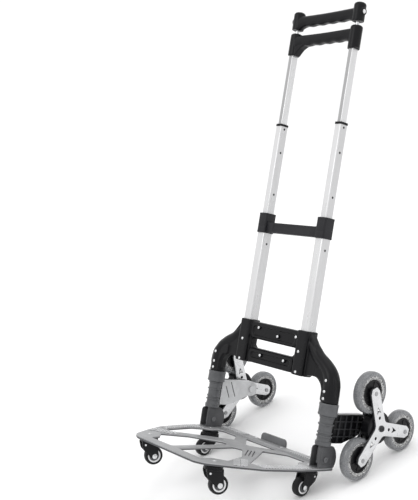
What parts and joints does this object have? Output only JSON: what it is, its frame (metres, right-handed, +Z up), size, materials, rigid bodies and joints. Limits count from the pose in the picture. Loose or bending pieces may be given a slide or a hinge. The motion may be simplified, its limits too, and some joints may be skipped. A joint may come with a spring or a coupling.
{
  "type": "stair climbing trolley",
  "caption": "Folding hand trolley with a telescopic two-tube mast, an openwork load deck on swivel casters and tri-wheel spiders that climb stairs.",
  "frame": {"origin": "on the floor, at the middle of the rectangle that the trolley covers", "axes": "+Z up, +X to the right of a person facing the back of the trolley from the front, +Y to the back, the side that the mast leans to"},
  "size_m": [0.4616, 0.6616, 0.9062],
  "materials": {
    "anodised_tube": "satin anodised",
    "steel": "zinc plated",
    "cast_aluminium": "bead blasted casting",
    "dark_grey": "moulded, slightly glossy",
    "grey_plastic": "moulded satin",
    "light_grey": "moulded satin",
    "clear_tyre": "clear polyurethane with silver flakes",
    "black_rubber": "smooth",
    "charcoal_plastic": "fine texture",
    "black_plastic": "fine texture"
  },
  "bodies": {
    "frame": {"yoke_front_shell": "black_plastic", "yoke_back_shell": "black_plastic", "mid_crossbar": "charcoal_plastic", "outer_tube_left": "anodised_tube", "outer_tube_right": "anodised_tube", "leg_tube_left": "cast_aluminium", "leg_tube_right": "cast_aluminium", "leg_collar_left": "grey_plastic", "leg_collar_right": "grey_plastic"},
    "mast_middle": {"middle_tube_left": "anodised_tube", "middle_tube_right": "anodised_tube", "tube_bush_left": "black_plastic", "tube_bush_right": "black_plastic"},
    "mast_inner": {"lower_handle": "black_plastic", "inner_tube_left": "anodised_tube", "inner_tube_right": "anodised_tube"},
    "top_grip": {"upper_handle": "black_plastic", "pull_rod_left": "steel", "pull_rod_right": "steel"},
    "deck": {"deck_panel": "cast_aluminium", "foot_tab": "dark_grey", "hinge_lug_left": "dark_grey", "hinge_lug_right": "dark_grey", "hinge_pin_left": "steel", "hinge_pin_right": "steel"},
    "button_left": {"release_button_left": "light_grey"},
    "arm_left": {"arm_sleeve_left": "grey_plastic", "wheel_arm_left": "light_grey", "arm_rib_cover_left": "black_plastic", "spider_axle_left": "steel"},
    "spider_left": {"spider_plate_outer_left": "steel", "spider_plate_inner_left": "steel"},
    "stair_wheel_left_1": {"stair_tyre_left_1": "clear_tyre", "stair_core_left_1": "black_plastic"},
    "stair_wheel_left_2": {"stair_tyre_left_2": "clear_tyre", "stair_core_left_2": "black_plastic"},
    "stair_wheel_left_3": {"stair_tyre_left_3": "clear_tyre", "stair_core_left_3": "black_plastic"},
    "caster_front_left": {"caster_fork_front_left": "black_plastic"},
    "caster_roll_front_left": {"caster_wheel_front_left": "black_rubber"},
    "caster_rear_left": {"caster_fork_rear_left": "black_plastic"},
    "caster_roll_rear_left": {"caster_wheel_rear_left": "black_rubber"},
    "button_right": {"release_button_right": "light_grey"},
    "arm_right": {"arm_sleeve_right": "grey_plastic", "wheel_arm_right": "light_grey", "arm_rib_cover_right": "black_plastic", "spider_axle_right": "steel"},
    "spider_right": {"spider_plate_outer_right": "steel", "spider_plate_inner_right": "steel"},
    "stair_wheel_right_1": {"stair_tyre_right_1": "clear_tyre", "stair_core_right_1": "black_plastic"},
    "stair_wheel_right_2": {"stair_tyre_right_2": "clear_tyre", "stair_core_right_2": "black_plastic"},
    "stair_wheel_right_3": {"stair_tyre_right_3": "clear_tyre", "stair_core_right_3": "black_plastic"},
    "caster_front_right": {"caster_fork_front_right": "black_plastic"},
    "caster_roll_front_right": {"caster_wheel_front_right": "black_rubber"},
    "caster_rear_right": {"caster_fork_rear_right": "black_plastic"},
    "caster_roll_rear_right": {"caster_wheel_rear_right": "black_rubber"}
  },
  "joints": [
    {"name": "middle_stage_slide", "type": "slide", "parent": "frame", "child": "mast_middle", "axis": [0, 0.44, 0.898], "range_m": [-0.19, 0]},
    {"name": "inner_stage_slide", "type": "slide", "parent": "mast_middle", "child": "mast_inner", "axis": [0, 0.44, 0.898], "range_m": [-0.15, 0]},
    {"name": "top_grip_slide", "type": "slide", "parent": "mast_inner", "child": "top_grip", "axis": [0, 0.44, 0.898], "range_m": [-0.007, 0]},
    {"name": "release_button_left_press", "type": "slide", "parent": "top_grip", "child": "button_left", "axis": [1, 0, 0], "range_m": [0, 0.003], "stiffness_N_per_m": 400},
    {"name": "release_button_right_press", "type": "slide", "parent": "top_grip", "child": "button_right", "axis": [-1, 0, 0], "range_m": [0, 0.003], "stiffness_N_per_m": 400},
    {"name": "deck_fold", "type": "hinge", "parent": "frame", "child": "deck", "pos_m": [0, -0.08742, 0.06393], "axis": [-1, 0, 0], "range_deg": [0, 84]},
    {"name": "arm_swing_left", "type": "hinge", "parent": "frame", "child": "arm_left", "pos_m": [-0.1735, -0.06102, 0.11781], "axis": [0, -0.44, -0.898], "range_deg": [0, 50]},
    {"name": "spider_left_spin", "type": "hinge", "parent": "arm_left", "child": "spider_left", "pos_m": [-0.2103, 0.04093, 0.08178], "axis": [1, 0, 0], "continuous": true},
    {"name": "stair_wheel_left_1_roll", "type": "hinge", "parent": "spider_left", "child": "stair_wheel_left_1", "pos_m": [-0.2103, 0.1083, 0.04288], "axis": [1, 0, 0], "continuous": true},
    {"name": "stair_wheel_left_2_roll", "type": "hinge", "parent": "spider_left", "child": "stair_wheel_left_2", "pos_m": [-0.2103, 0.04093, 0.15958], "axis": [1, 0, 0], "continuous": true},
    {"name": "stair_wheel_left_3_roll", "type": "hinge", "parent": "spider_left", "child": "stair_wheel_left_3", "pos_m": [-0.2103, -0.02645, 0.04288], "axis": [1, 0, 0], "continuous": true},
    {"name": "arm_swing_right", "type": "hinge", "parent": "frame", "child": "arm_right", "pos_m": [0.1735, -0.06102, 0.11781], "axis": [0, 0.44, 0.898], "range_deg": [0, 50]},
    {"name": "spider_right_spin", "type": "hinge", "parent": "arm_right", "child": "spider_right", "pos_m": [0.2103, 0.04093, 0.08178], "axis": [1, 0, 0], "continuous": true},
    {"name": "stair_wheel_right_1_roll", "type": "hinge", "parent": "spider_right", "child": "stair_wheel_right_1", "pos_m": [0.2103, 0.1083, 0.04288], "axis": [1, 0, 0], "continuous": true},
    {"name": "stair_wheel_right_2_roll", "type": "hinge", "parent": "spider_right", "child": "stair_wheel_right_2", "pos_m": [0.2103, 0.04093, 0.15958], "axis": [1, 0, 0], "continuous": true},
    {"name": "stair_wheel_right_3_roll", "type": "hinge", "parent": "spider_right", "child": "stair_wheel_right_3", "pos_m": [0.2103, -0.02645, 0.04288], "axis": [1, 0, 0], "continuous": true},
    {"name": "caster_front_left_swivel", "type": "hinge", "parent": "deck", "child": "caster_front_left", "pos_m": [-0.105, -0.29664, 0.12884], "axis": [0, 0.4243, 0.9055], "continuous": true},
    {"name": "caster_front_left_roll", "type": "hinge", "parent": "caster_front_left", "child": "caster_roll_front_left", "pos_m": [-0.10021, -0.29789, 0.09519], "axis": [0.9397, -0.3097, 0.1451], "continuous": true},
    {"name": "caster_front_right_swivel", "type": "hinge", "parent": "deck", "child": "caster_front_right", "pos_m": [0.105, -0.29664, 0.12884], "axis": [0, 0.4243, 0.9055], "continuous": true},
    {"name": "caster_front_right_roll", "type": "hinge", "parent": "caster_front_right", "child": "caster_roll_front_right", "pos_m": [0.10979, -0.29789, 0.09519], "axis": [0.9397, -0.3097, 0.1451], "continuous": true},
    {"name": "caster_rear_left_swivel", "type": "hinge", "parent": "deck", "child": "caster_rear_left", "pos_m": [-0.154, -0.1092, 0.04101], "axis": [0, 0.4243, 0.9055], "continuous": true},
    {"name": "caster_rear_left_roll", "type": "hinge", "parent": "caster_rear_left", "child": "caster_roll_rear_left", "pos_m": [-0.154, -0.13503, 0.01888], "axis": [-1, 0, 0], "continuous": true},
    {"name": "caster_rear_right_swivel", "type": "hinge", "parent": "deck", "child": "caster_rear_right", "pos_m": [0.154, -0.1092, 0.04101], "axis": [0, 0.4243, 0.9055], "continuous": true},
    {"name": "caster_rear_right_roll", "type": "hinge", "parent": "caster_rear_right", "child": "caster_roll_rear_right", "pos_m": [0.154, -0.13503, 0.01888], "axis": [-1, 0, 0], "continuous": true}
  ]
}
